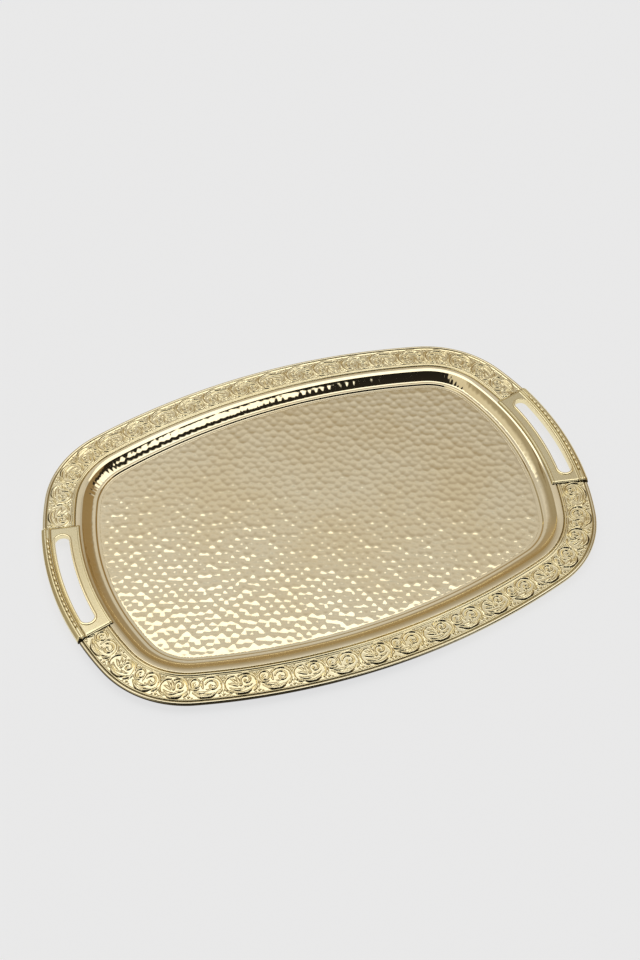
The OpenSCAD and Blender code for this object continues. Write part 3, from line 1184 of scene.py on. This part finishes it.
@dataclass
class ScrollMotif:
    """Two scrolls with their leaves, which repeat along the border.

    Sizes are in millimetres. u runs along the border, v outwards from the band's inner edge.
    """

    length: float = 54.39
    band: float = 19.6
    cell: float = 0.38
    far: float = 9.0
    halo: float = 0.6
    ground_height: float = 0.3

    def __post_init__(self) -> None:
        """Draws every stroke."""
        self.strokes: list[Stroke] = []
        self._paired_scroll(0.25 * self.length)
        self._leafy_scroll(0.75 * self.length)
        for u in (0.0, 0.5 * self.length):
            self._joint(u)

    def _arc(
        self, u: float, v: float, radii: Point2, first: float, turns: float, width: float, height: float
    ) -> None:
        """A curl that winds from one radius to another, swelling in its middle.

        Args:
            u: centre along the border.
            v: centre across it.
            radii: first and last radius.
            first: first direction, in degrees.
            turns: number of turns, negative for the other way round.
            width: half of the widest part.
            height: height of the ridge.
        """
        t = np.linspace(0, 1, max(8, int(abs(turns) * 30)))
        angle = math.radians(first) + 2 * math.pi * turns * t
        radius = radii[0] + (radii[1] - radii[0]) * t
        points = np.column_stack([u + radius * np.cos(angle), v + radius * np.sin(angle)])
        swell = 0.45 + 0.55 * np.sin(np.pi * np.clip(t, 0.02, 0.98)) ** 0.7
        self.strokes.append(Stroke(points, width * swell, height))

    def _leaf(self, start: Point2, end: Point2, bulge: float, width: float, height: float = 0.75) -> None:
        """A pointed leaf lobe with a vein.

        Args:
            start: its stalk.
            end: its tip.
            bulge: how far its middle bows to the left of the way from stalk to tip.
            width: half of the widest part.
            height: height of the ridge.
        """
        t = np.linspace(0, 1, 12)[:, None]
        a, b = np.array(start), np.array(end)
        across = np.array([-(b - a)[1], (b - a)[0]]) / np.linalg.norm(b - a)
        points = a + (b - a) * t + across * bulge * 4 * t * (1 - t)
        shape = np.sin(np.pi * np.clip(t[:, 0], 0.05, 0.96) ** 0.8)
        self.strokes.append(Stroke(points, width * shape, height))
        if width > 0.9:
            self.strokes.append(Stroke(points[1:10], np.full(9, 0.26), 0.24, Mark.GROOVE))

    def _crescent(self, start: Point2, end: Point2, bulge: float, width: float) -> None:
        """A heavy curved leaf, with painted shade for a dark undercut along its outer side.

        Args:
            start: its stalk.
            end: its tip.
            bulge: how far its middle bows outwards.
            width: half of the widest part.
        """
        self._leaf(start, end, bulge, width, 1.05)
        points = self.strokes[-2].points + [0, width + 0.15]
        widths = np.array([0.2, 0.45, 0.65, 0.75, 0.75, 0.65, 0.45, 0.2])
        self.strokes.append(Stroke(points[2:-2], widths, 1.0, Mark.SHADE))

    def _dot(self, u: float, v: float, radius: float, mark: Mark = Mark.RIDGE) -> None:
        """A round boss, or a pit darkened with painted shade."""
        self.strokes.append(Stroke(np.array([[u, v], [u + 0.01, v]]), np.full(2, radius), 0.8, mark))

    def _joint(self, u: float) -> None:
        """Bud, stem and dots that fill the gap between two scrolls.

        Args:
            u: middle of the motif's part along the border.
        """
        self._arc(u, 3.1, (1.7, 1.5), -90, 1.0, 0.55, 0.6)
        self._dot(u, 3.1, 0.6)
        self._leaf((u, 15.2), (u + 0.3, 5.4), 0.4, 0.85, 0.6)
        self._leaf((u - 0.4, 11.5), (u - 2.0, 7.2), 0.5, 0.6, 0.5)
        self._leaf((u + 0.4, 11.5), (u + 2.0, 7.2), -0.5, 0.6, 0.5)
        self._dot(u, 17.5, 0.85)
        for du, v in ((-2.9, 18.5), (2.8, 18.3), (-3.2, 1.1), (3.2, 1.1)):
            self._dot(u + du, v, 0.6)
        self._dot(u + 1.4, 17.0, 0.5, Mark.SHADE)
        self._dot(u - 1.8, 16.1, 0.42, Mark.SHADE)

    def _paired_scroll(self, u: float) -> None:
        """Two curls side by side over a heavy crescent.

        Args:
            u: middle of the motif's part along the border.
        """
        self._arc(u - 8.0, 6.2, (5.3, 4.4), 60, 0.72, 0.95, 0.85)
        self._arc(u - 7.8, 6.2, (4.2, 1.2), 320, 0.85, 0.7, 0.75)
        self._arc(u + 5.0, 9.2, (8.9, 8.3), 205, 0.58, 1.05, 0.9)
        self._arc(u + 5.4, 8.6, (5.4, 1.5), 195, 1.05, 0.85, 0.8)
        self._dot(u - 7.4, 6.6, 0.62, Mark.SHADE)
        self._dot(u + 5.6, 8.4, 0.75, Mark.SHADE)
        self._dot(u + 7.0, 8.6, 0.5, Mark.SHADE)
        self._crescent((u - 10.2, 13.4), (u + 10.8, 12.6), 5.0, 1.2)
        self._leaf((u - 8.6, 12.6), (u + 3.4, 12.6), 1.5, 0.95)
        self._leaf((u - 6.0, 15.4), (u + 7.0, 14.6), 1.0, 0.85)
        self._leaf((u - 1.8, 10.8), (u - 1.4, 2.2), -0.8, 0.9)
        self._leaf((u + 0.6, 11.4), (u + 4.4, 11.6), 0.5, 0.6, 0.6)
        self._dot(u + 10.7, 17.6, 0.55, Mark.SHADE)

    def _leafy_scroll(self, u: float) -> None:
        """A veined leaf under one arc, and a curl under the other.

        Args:
            u: middle of the motif's part along the border.
        """
        self._arc(u - 5.6, 9.4, (7.4, 7.0), 100, 0.5, 0.95, 0.85)
        self._arc(u + 4.6, 10.0, (9.2, 8.6), 232, 0.5, 1.1, 0.95)
        self._arc(u + 4.9, 7.0, (4.7, 1.3), 150, 1.15, 0.8, 0.8)
        self._dot(u + 5.0, 7.0, 0.6, Mark.SHADE)
        self._dot(u + 3.6, 8.3, 0.5, Mark.SHADE)
        self._dot(u + 0.2, 10.6, 1.25)
        self._leaf((u - 2.2, 11.6), (u - 9.6, 8.6), 0.6, 1.05)
        self._leaf((u - 2.0, 10.4), (u - 7.8, 4.6), 0.9, 1.1)
        self._leaf((u - 1.2, 9.4), (u - 3.6, 3.2), 0.8, 1.0)
        self._dot(u - 6.6, 8.0, 0.45, Mark.SHADE)
        self._dot(u - 4.2, 6.6, 0.4, Mark.SHADE)
        self._leaf((u - 8.4, 12.4), (u + 5.0, 13.2), 1.8, 1.0)
        self._leaf((u + 2.6, 12.2), (u + 9.4, 10.8), 0.9, 0.75)
        self._crescent((u - 8.0, 14.6), (u + 11.2, 12.4), 4.2, 1.15)
        self._dot(u - 10.6, 14.6, 0.55, Mark.SHADE)
        self._leaf((u - 9.4, 17.6), (u - 7.2, 18.6), 0.2, 0.5, 0.5)

    def heights(self, u: Array, v: Array) -> tuple[Array, Array]:
        """Height of the ornament, and how dark it is painted: partly tarnish, partly painted shade.

        Args:
            u: places along the border.
            v: places across it.

        Returns:
            Heights in millimetres, and the share of tarnish and painted shade from 0 to 1.
        """
        ridge, groove, shade = (np.zeros(u.shape) for _ in Mark)
        reach = np.full(u.shape, self.far)
        for stroke in self.strokes:
            for shift in (-self.length, 0.0, self.length):
                p = stroke.points + [shift, 0]
                if p[:, 0].max() < -3 or p[:, 0].min() > self.length + 3:
                    continue
                for i, (a, b) in enumerate(zip(p, p[1:])):
                    d = b - a
                    t = np.clip(((u - a[0]) * d[0] + (v - a[1]) * d[1]) / max(d @ d, 1e-9), 0, 1)
                    away = np.hypot(u - a[0] - t * d[0], v - a[1] - t * d[1])
                    width = stroke.width[i] + (stroke.width[i + 1] - stroke.width[i]) * t
                    shape = np.clip(1 - (away / width) ** 2, 0, 1) ** 0.75 * stroke.amount
                    if stroke.mark is Mark.RIDGE:
                        ridge = np.maximum(ridge, shape)
                        reach = np.minimum(reach, np.maximum(away - width, 0))
                    elif stroke.mark is Mark.GROOVE:
                        groove = np.maximum(groove, shape)
                    else:
                        shade = np.maximum(shade, np.clip(1.4 * shape, 0, 1))
        # SHADE strokes are painted shade; ground darkened beside ridges and in veins is partly tarnish,
        # partly painted shade.
        height = np.clip(ridge - groove, 0, None) * (1 - 0.7 * shade)
        ground = np.clip(1 - height / self.ground_height, 0, 1)
        beside = np.clip(1 - reach / self.halo, 0, 1)
        return height, np.clip(ground * (0.03 + 0.2 * beside) + 0.4 * groove + shade, 0, 1)


@dataclass
class Border:
    """One embossed strip, from one handle's seam to the other's.

    Sizes are in millimetres. Each of the rails has a middle inset, a half width and a height.
    """

    outline: Outline
    palette: Palette
    along: Tree
    half: Half
    outer: float = 3.3
    inner: float = 26.8
    base_z: float = 8.0
    top_z: float = 8.55
    repeats: int = 10
    zero_v: float = 23.5
    gap: float = 0.2
    rails: tuple[tuple[float, float, float], ...] = ((25.6, 0.95, 0.95), (23.95, 0.4, 0.45), (3.9, 0.45, 0.4))

    @property
    def strength(self) -> Point2:
        """How strong the relief and its tarnish and painted shade are; the front half's hollows get more
        painted shade.
        """
        return (1.35, 1.3) if self.half is Half.FRONT else (0.95, 0.95)

    def _rails(self, inset: Array) -> Array:
        """Height of the plain lines beside the ornament, in millimetres.

        Args:
            inset: insets in millimetres.

        Returns:
            Heights in millimetres.
        """
        lines = (
            height * np.sqrt(np.clip(1 - ((inset - middle) / half) ** 2, 0, 1))
            for middle, half, height in self.rails
        )
        return np.maximum.reduce(list(lines))

    def build(self) -> Object:
        """Builds one repeat flat, repeats it and bends the row onto the outline.

        Returns:
            The finished strip.
        """
        motif = ScrollMotif()
        start, run = self.outline.half_run(self.half, self.gap * MM)
        pitch = run / self.repeats
        columns = int(round(motif.length / motif.cell)) + 1
        rows = int(round((self.inner - self.outer) / motif.cell)) + 1
        u, inset = np.linspace(0, motif.length, columns), np.linspace(self.outer, self.inner, rows)
        grid_u, grid_i = np.meshgrid(u, inset, indexing="ij")
        grid_v = self.zero_v - grid_i
        height, tarnish_and_shade = motif.heights(grid_u, grid_v)
        band = np.clip((grid_v - 0.1) / 0.5, 0, 1) * np.clip((motif.band - grid_v) / 0.4, 0, 1)
        rails, (relief, darkness) = self._rails(grid_i), self.strength
        height = np.maximum(height * band * relief, rails)
        # Painted shade: the front half's hollows are darkened more; the ground between the rails is darkened,
        # partly as tarnish.
        tarnish_and_shade = np.maximum(tarnish_and_shade * band * darkness, 0.55 * (rails < 0.12) * (1 - band))
        x = np.broadcast_to(np.linspace(0, pitch, columns)[:, None], grid_u.shape)
        verts = np.stack([x, -grid_i * MM, (self.top_z + height) * MM], -1)
        first, last = (verts[:, row, None] * [1, 1, 0] + [0, 0, self.base_z * MM] for row in (0, -1))
        verts = np.concatenate([first, verts, last], 1)
        tarnish_and_shade = np.pad(tarnish_and_shade, ((0, 0), (1, 1)), mode="edge")
        faces = grid_faces(columns, rows + 2)
        obj = new_object(f"border_strip_{self.half.value}", verts.reshape(-1, 3), faces)
        set_attribute(obj, "relief", "FLOAT", tarnish_and_shade.ravel())
        points, _ = self.outline.at(stations(start, start + run, PATH_STEP))
        repeat_along(obj, self.along, points, self.repeats, pitch, 0.02 * MM, self.palette.border)
        place_piece(obj, [f"border_{self.half.value}"])
        return obj


# ---------------------------------------------------------------- handles


@dataclass
class Handle:
    """One handle: plate with its slot, liner, flange beneath and bead wire.

    Sizes are in millimetres, heights above the ground that the tray stands on.
    """

    outline: Outline
    palette: Palette
    along: Tree
    side: Side
    plate_z: float = 10.7
    grip_z: float = 11.8
    lip_z: float = 6.2
    overhang: float = 0.8
    inner: float = 31.0
    slot_l: float = 92.0
    slot_w: float = 11.6
    slot_inset: float = 15.6
    bead_inset: float = 4.2
    bead_pitch: float = 5.5
    bead_count: int = 17
    bead_r: float = 1.05
    neck_r: float = 0.45
    end_bevel: float = 2.4
    strip_z: float = 8.0
    flange_z: float = 7.1

    @property
    def label(self) -> str:
        """The end's name."""
        return self.side.name.lower()

    def _turned(self, along: Array, inset: Array) -> Array:
        """Places points given by distance along the end's arc and inset, both in millimetres.

        Args:
            along: distance along the outer edge from the handle's middle.
            inset: distance inwards.

        Returns:
            Points in metres, of the same shape with a last axis of two.
        """
        end_r = self.outline.end_r
        angle = along * MM / end_r + (0 if self.side is Side.RIGHT else math.pi)
        radius = end_r - inset * MM
        x = self.side.value * self.outline.end_x + radius * np.cos(angle)
        return np.stack([x, radius * np.sin(angle)], -1)

    def _slot_line(self) -> Point2:
        """Radius of the slot's middle line in millimetres, and half of the angle that it spans."""
        mid = self.outline.end_r / MM - self.slot_inset
        return mid, (self.slot_l - self.slot_w) / 2 / mid

    def _outside_slot(self, p: Array, grow: float) -> Array:
        """How far points lie outside the finger slot.

        Args:
            p: (along, inset) points, in millimetres.
            grow: how much larger than the clear slot, in millimetres.

        Returns:
            Distances in millimetres, negative inside the slot.
        """
        end_r = self.outline.end_r / MM
        mid, half = self._slot_line()
        angle, radius = p[..., 0] / end_r, end_r - p[..., 1]
        beyond = np.clip(np.abs(angle) - half, 0, None)
        near = np.hypot(radius * np.cos(beyond) - mid, radius * np.sin(beyond))
        return near - (self.slot_w / 2 + grow)

    def _plate_line(self) -> list[Point2]:
        """Section of the plate, from under its lip, over the grip bar, to its inner edge.

        Returns:
            Points of inset and height, in millimetres.
        """
        z, g, lip, out, end = self.plate_z, self.grip_z, self.lip_z, -self.overhang, self.inner
        line = [
            (0.4, lip + 0.3), (0.2, lip), (out, lip), (out, z - 1.6),
            (out + 0.3, z - 0.5), (0.6, z + 0.3), (1.8, g - 0.15), (2.6, g),
            (2.95, g - 0.05), (3.1, g - 0.6), (3.6, g - 0.85), (4.8, g - 0.85), (5.3, g - 0.6),
            (5.45, g - 0.05), (5.9, g - 0.05), (6.6, g - 0.5), (7.1, z + 0.02), (7.7, z - 0.15),
            (end - 2.6, z - 0.05),
            (end - 2.2, z + 0.32), (end - 1.2, z + 0.32), (end - 0.4, z - 0.2), (end, z - 0.9), (end, 9.3),
        ]
        dense = rounded(line, 0.45, 3)
        result = [dense[0]]
        for a, b in zip(dense, dense[1:]):
            pieces = max(1, int(math.dist(a, b) / 0.55))
            for i in range(1, pieces + 1):
                result.append(tuple(p + (q - p) * i / pieces for p, q in zip(a, b)))
        return result

    def build_plate(self) -> Object:
        """The plate, bevelled down at both seams and cut by the slot.

        Returns:
            The finished piece.
        """
        inset, height = np.array(self._plate_line()).T
        reach = self.outline.seam_s / MM - 0.2
        middle = np.linspace(-reach + 0.8, reach - 0.8, 210)
        ends = np.array([0.0, 0.12, 0.4])
        along = np.concatenate([-reach + ends, middle, reach - ends[::-1]])
        grid_a, grid_i = np.meshgrid(along, inset, indexing="ij")
        step = max(along[10] - along[9], 0.55)
        grid = np.stack([grid_a, grid_i], -1)
        flat, faces = trimmed_sheet(grid, lambda p: self._outside_slot(p, 0.5), step)
        top = np.broadcast_to(height, grid_a.shape).ravel()
        away = reach - np.abs(flat[:, 0])
        slope = np.clip(1 - away / self.end_bevel, 0, 1)
        drop = 1.1 * slope**1.5 + 0.3 * np.clip(1 - away / 0.5, 0, 1)
        floor_z = np.where(flat[:, 1] < 0.5, self.lip_z, self.strip_z)
        z = np.where(top > 9.0, np.maximum(top - drop, floor_z), top)
        verts = np.column_stack([self._turned(flat[:, 0], flat[:, 1]), z * MM])
        columns, count = len(inset), len(verts)
        ends = [verts[:columns].copy(), verts[-columns:].copy()]
        for end in ends:
            end[:, 2] = np.minimum(end[:, 2], floor_z[:columns] * MM)
        verts = np.concatenate([verts, *ends])
        c, edge, foot = np.arange(columns - 1), count - columns, count + columns
        front = np.stack([count + c, c, c + 1, count + c + 1], 1)
        back = np.stack([edge + c, foot + c, foot + c + 1, edge + c + 1], 1)
        faces = np.concatenate([faces, front, back])
        # Painted shade: the plate's last half millimetre at each seam and its end faces are darkened near
        # black.
        seam = np.concatenate([np.clip(1.3 - away / 0.35, 0, 1), np.ones(2 * columns)])
        verts, faces, seam = compact(verts, faces, seam)
        obj = new_object(f"handle_face_{self.label}", verts, faces)
        set_attribute(obj, "relief", "FLOAT", seam)
        dress(obj, self.palette.handle)
        place_piece(obj, [f"handle_plate_{self.label}"])
        return obj

    def build_flange(self) -> Object:
        """Flange beneath the plate, seen from below, with the slot cut through.

        Returns:
            The finished piece.
        """
        reach = self.outline.seam_s / MM
        along = np.linspace(-reach, reach, 160)
        inset = np.linspace(0.6, 27.6, 37)
        grid = np.stack(np.meshgrid(along, inset, indexing="ij"), -1)
        flat, faces = trimmed_sheet(grid, lambda p: self._outside_slot(p, 0.7), 0.75)
        height = np.full(len(flat), self.flange_z * MM)
        verts = np.column_stack([self._turned(flat[:, 0], flat[:, 1]), height])
        verts, faces = compact(verts, faces)
        obj = new_object(f"pan_flange_{self.label}", verts, faces)
        dress(obj, self.palette.back)
        solid = obj.modifiers.new("sheet", "SOLIDIFY")
        solid.thickness = 0.85 * MM
        solid.offset = -1
        settled(obj)
        place_piece(obj, ["pan"])
        return obj

    def build_liner(self) -> Object:
        """Tube through the slot, its lip turned out over the plate and under the flange.

        Returns:
            The finished piece.
        """
        mid, half = self._slot_line()
        r = self.slot_w / 2
        straight, turns = np.linspace(-half, half, 110), np.linspace(0, math.pi, 26)[1:-1]
        centre, normal = [], []
        for sign in (1, -1):
            side, bow = unit(straight[::sign]), unit(sign * half + turns + (0 if sign == 1 else math.pi))
            centre += [(mid + sign * r) * side, mid * unit(sign * half) + r * bow]
            normal += [sign * side, bow]
        centre, normal = np.concatenate(centre), np.concatenate(normal)
        top, plate, flange, foot = self.plate_z + 0.72, self.plate_z, 7.0, 6.4
        line = [
            (0.0, 9.0), (0.0, top), (0.9, top + 0.05), (1.7, top - 0.1), (2.0, plate - 0.1),
            (2.0, plate - 0.4), (0.9, plate - 0.4), (0.9, flange), (2.0, flange), (2.0, foot), (0.0, foot),
            (0.0, 9.0),
        ]
        section = rounded(line, 0.42, 4)[:-1]
        out, height = np.array(section).T
        verts = lofted(centre, normal, out, height)
        verts[..., 0] = (verts[..., 0] + self.outline.end_x / MM) * self.side.value
        verts *= MM
        faces = grid_faces(len(centre), len(section), True, True)
        faces = faces[:, ::-1] if self.side is Side.RIGHT else faces
        obj = new_object(f"slot_lining_{self.label}", verts.reshape(-1, 3), faces)
        dress(obj, self.palette.trim)
        place_piece(obj, [f"slot_liner_{self.label}"])
        return obj

    def build_beads(self) -> Object:
        """Row of long beads joined by thin necks, laid in the grip bar's groove.

        Returns:
            The finished piece.
        """
        half, around = self.bead_pitch / 2, 10
        t = np.linspace(-1, 1, 9)
        radius = np.maximum(self.bead_r * np.sqrt(np.clip(1 - np.abs(t) ** 2.6, 0, 1)), self.neck_r)
        turns = np.linspace(0, 2 * math.pi, around, endpoint=False)
        x = np.broadcast_to((t * half + half)[:, None], (len(t), around))
        y = radius[:, None] * np.cos(turns)[None, :] - self.bead_inset
        z = radius[:, None] * np.sin(turns)[None, :] + self.grip_z - 0.05
        verts = np.stack([x, y, z], -1).reshape(-1, 3) * MM
        obj = new_object(f"bead_row_{self.label}", verts, grid_faces(len(t), around, False, True))
        row = self.bead_pitch * self.bead_count * MM
        shrink = self.outline.end_r / (self.outline.end_r - self.bead_inset * MM)
        middle = 0.0 if self.side is Side.RIGHT else self.outline.length / 2
        start = middle - row * shrink / 2
        points, _ = self.outline.at(stations(start, start + row * shrink, PATH_STEP))
        pitch = self.bead_pitch * MM * shrink
        repeat_along(obj, self.along, points, self.bead_count, pitch, 0.01 * MM, self.palette.trim)
        place_piece(obj, [f"bead_wire_{self.label}"])
        return obj

    def build(self) -> None:
        """Builds and places every piece of the handle."""
        self.build_plate()
        self.build_flange()
        self.build_liner()
        self.build_beads()


# ---------------------------------------------------------------- stage


@dataclass(frozen=True)
class Card:
    """A soft-edged bright or dark card in the room, placed as seen from the tray.

    Angles are in degrees. Over runs from the far horizon at 0, past the top of the room at 90, to the near
    horizon at 180. Across is zero straight ahead and positive to the right.

    Attributes:
        over: first and last angle over.
        across: first and last angle across.
        blur: width of the soft edge over and across.
        colour: its brightness and tint.
    """

    over: Point2
    across: Point2
    blur: Point2
    colour: Colour


@dataclass
class Studio:
    """Pale floor, soft room light and the camera."""

    azimuth: float = math.radians(-21.44)
    elevation: float = math.radians(49.86)
    distance: float = 1.1054
    lens: float = 72.92
    target: tuple[float, float, float] = (0.01072, 0.02508, 0.009)
    room: tuple[tuple[float, Colour], ...] = (
        (0, (0.40, 0.32, 0.22)),
        (20, (0.38, 0.31, 0.22)),
        (32, (0.38, 0.33, 0.26)),
        (40, (0.43, 0.38, 0.32)),
        (46, (0.53, 0.50, 0.49)),
        (53, (0.68, 0.66, 0.67)),
        (55.5, (0.64, 0.63, 0.65)),
        (57.4, (0.53, 0.53, 0.56)),
        (59.2, (1.55, 1.55, 1.58)),
        (86, (1.7, 1.7, 1.72)),
        (95, (0.022, 0.019, 0.017)),
        (180, (0.012, 0.012, 0.012)),
    )
    cards: tuple[Card, ...] = (
        Card((111, 132), (21, 39.5), (2, 1.5), (1.75, 1.75, 1.75)),
        Card((-90, 60), (27, 90), (10, 6), (0.37, 0.27, 0.15)),
        Card((56, 270), (48, 62), (3, 2), (0.03, 0.022, 0.015)),
        Card((40, 270), (60, 100), (8, 3), (0.36, 0.26, 0.14)),
        Card((-90, 70), (-90, -40), (10, 10), (0.31, 0.27, 0.205)),
        Card((58, 270), (-100, -24), (8, 1.0), (0.66, 0.62, 0.54)),
        Card((20, 270), (-110, -50), (8, 8), (0.34, 0.30, 0.23)),
        Card((33, 43), (-84, -56), (3, 4), (0.20, 0.15, 0.09)),
    )
    falloff: float = 0.003
    lean: float = 0.11
    floor_half: float = 30.0

    def build_world(self) -> None:
        """Room light as soft bands over the tray, with cards in front of them."""
        world = bpy.data.worlds.new("room")
        bpy.context.scene.world = world
        world.use_nodes = True
        tree = world.node_tree
        tree.nodes.clear()
        w = Wiring(tree)
        way = w.vectors("NORMALIZE", w.add("ShaderNodeTexCoord").outputs["Generated"])
        ahead = w.vectors("DOT_PRODUCT", way, (-math.sin(self.azimuth), math.cos(self.azimuth), 0.0))
        aside = w.vectors("DOT_PRODUCT", way, (math.cos(self.azimuth), math.sin(self.azimuth), 0.0))
        up = w.vectors("DOT_PRODUCT", way, (0.0, 0.0, 1.0))
        over = w.maths("MULTIPLY", w.maths("ARCTAN2", up, ahead), 180 / math.pi)
        over = w.maths("WRAP", over, 270.0, -90.0)
        across = w.maths("MULTIPLY", w.maths("ARCSINE", aside), 180 / math.pi)
        leaning = w.maths("SUBTRACT", over, w.maths("MULTIPLY", across, self.lean))
        colour: object = self.room[0][1]
        for (low, _), (high, tint) in zip(self.room, self.room[1:]):
            colour = w.mix(w.ramp(leaning, low, high), colour, tint)
        for card in self.cards:
            mask: object = 1.0
            for value, span, blur in ((over, card.over, card.blur[0]), (across, card.across, card.blur[1])):
                rise = w.ramp(value, span[0] - blur, span[0] + blur)
                fall = w.ramp(value, span[1] - blur, span[1] + blur, falling=True)
                mask = w.maths("MULTIPLY", mask, w.maths("MULTIPLY", rise, fall))
            colour = w.mix(mask, colour, card.colour)
        level = w.maths("SUBTRACT", 1.0, w.maths("MULTIPLY", across, self.falloff))
        light = w.add("ShaderNodeBackground", {"Color": colour, "Strength": level})
        w.add("ShaderNodeOutputWorld", {"Surface": light.outputs[0]})

    def build_floor(self) -> None:
        """Large pale floor that the tray stands on."""
        half, drop = self.floor_half, -0.02 * MM
        corners = np.array([[x * half, y * half, drop] for x, y in ((-1, -1), (1, -1), (1, 1), (-1, 1))])
        obj = new_object("studio_floor", corners, np.array([[0, 1, 2, 3]]))
        material = bpy.data.materials.new("pale_floor")
        material.use_nodes = True
        shader = material.node_tree.nodes["Principled BSDF"]
        settings = {
            "Base Color": (0.2, 0.2, 0.2, 1), "Roughness": 0.9, "Specular IOR Level": 0.0,
            "Emission Color": (1.0, 1.004, 1.012, 1), "Emission Strength": 0.7,
        }
        for label, value in settings.items():
            shader.inputs[label].default_value = value
        dress(obj, material)

    def build_camera(self) -> None:
        """Camera above the front left, looking down at the tray."""
        cam = bpy.data.cameras.new("camera")
        cam.lens = self.lens
        cam.sensor_width = 36.0
        cam.sensor_fit = "HORIZONTAL"
        cam.clip_start = 0.01
        obj = bpy.data.objects.new("camera", cam)
        bpy.context.scene.collection.objects.link(obj)
        level = math.cos(self.elevation)
        aside, ahead = -math.sin(self.azimuth) * level, math.cos(self.azimuth) * level
        forward = Vector((aside, ahead, -math.sin(self.elevation)))
        obj.location = Vector(self.target) - forward * self.distance
        obj.rotation_euler = forward.to_track_quat("-Z", "Y").to_euler()
        bpy.context.scene.camera = obj

    def build(self) -> None:
        """Builds the stage."""
        self.build_world()
        self.build_floor()
        self.build_camera()
        bpy.context.scene.view_settings.view_transform = "Standard"


def dress_cad(palette: Palette) -> None:
    """Gives the CAD nodes that stay their finishes.

    Args:
        palette: the finishes.
    """
    kept = {f"rim_wire_{half.value}": palette.steel for half in Half}
    kept |= {f"handle_screws_{side.name.lower()}": palette.screw for side in Side}
    for name, material in kept.items():
        dress(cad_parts[name], material)
        LOG.info("%s: CAD mesh with %s", name, material.name)


def main() -> None:
    """Builds the tray and its stage in order."""
    logging.basicConfig(level=logging.INFO, format="%(name)s: %(message)s")
    outline = Outline()
    palette = Palette(Effects())
    along, hammer = along_path_tree(), hammer_tree()
    Pan(outline, palette, hammer).build()
    for half in Half:
        Border(outline, palette, along, half).build()
    for side in Side:
        Handle(outline, palette, along, side).build()
    dress_cad(palette)
    Studio().build()


if __name__ == "__main__":
    main()
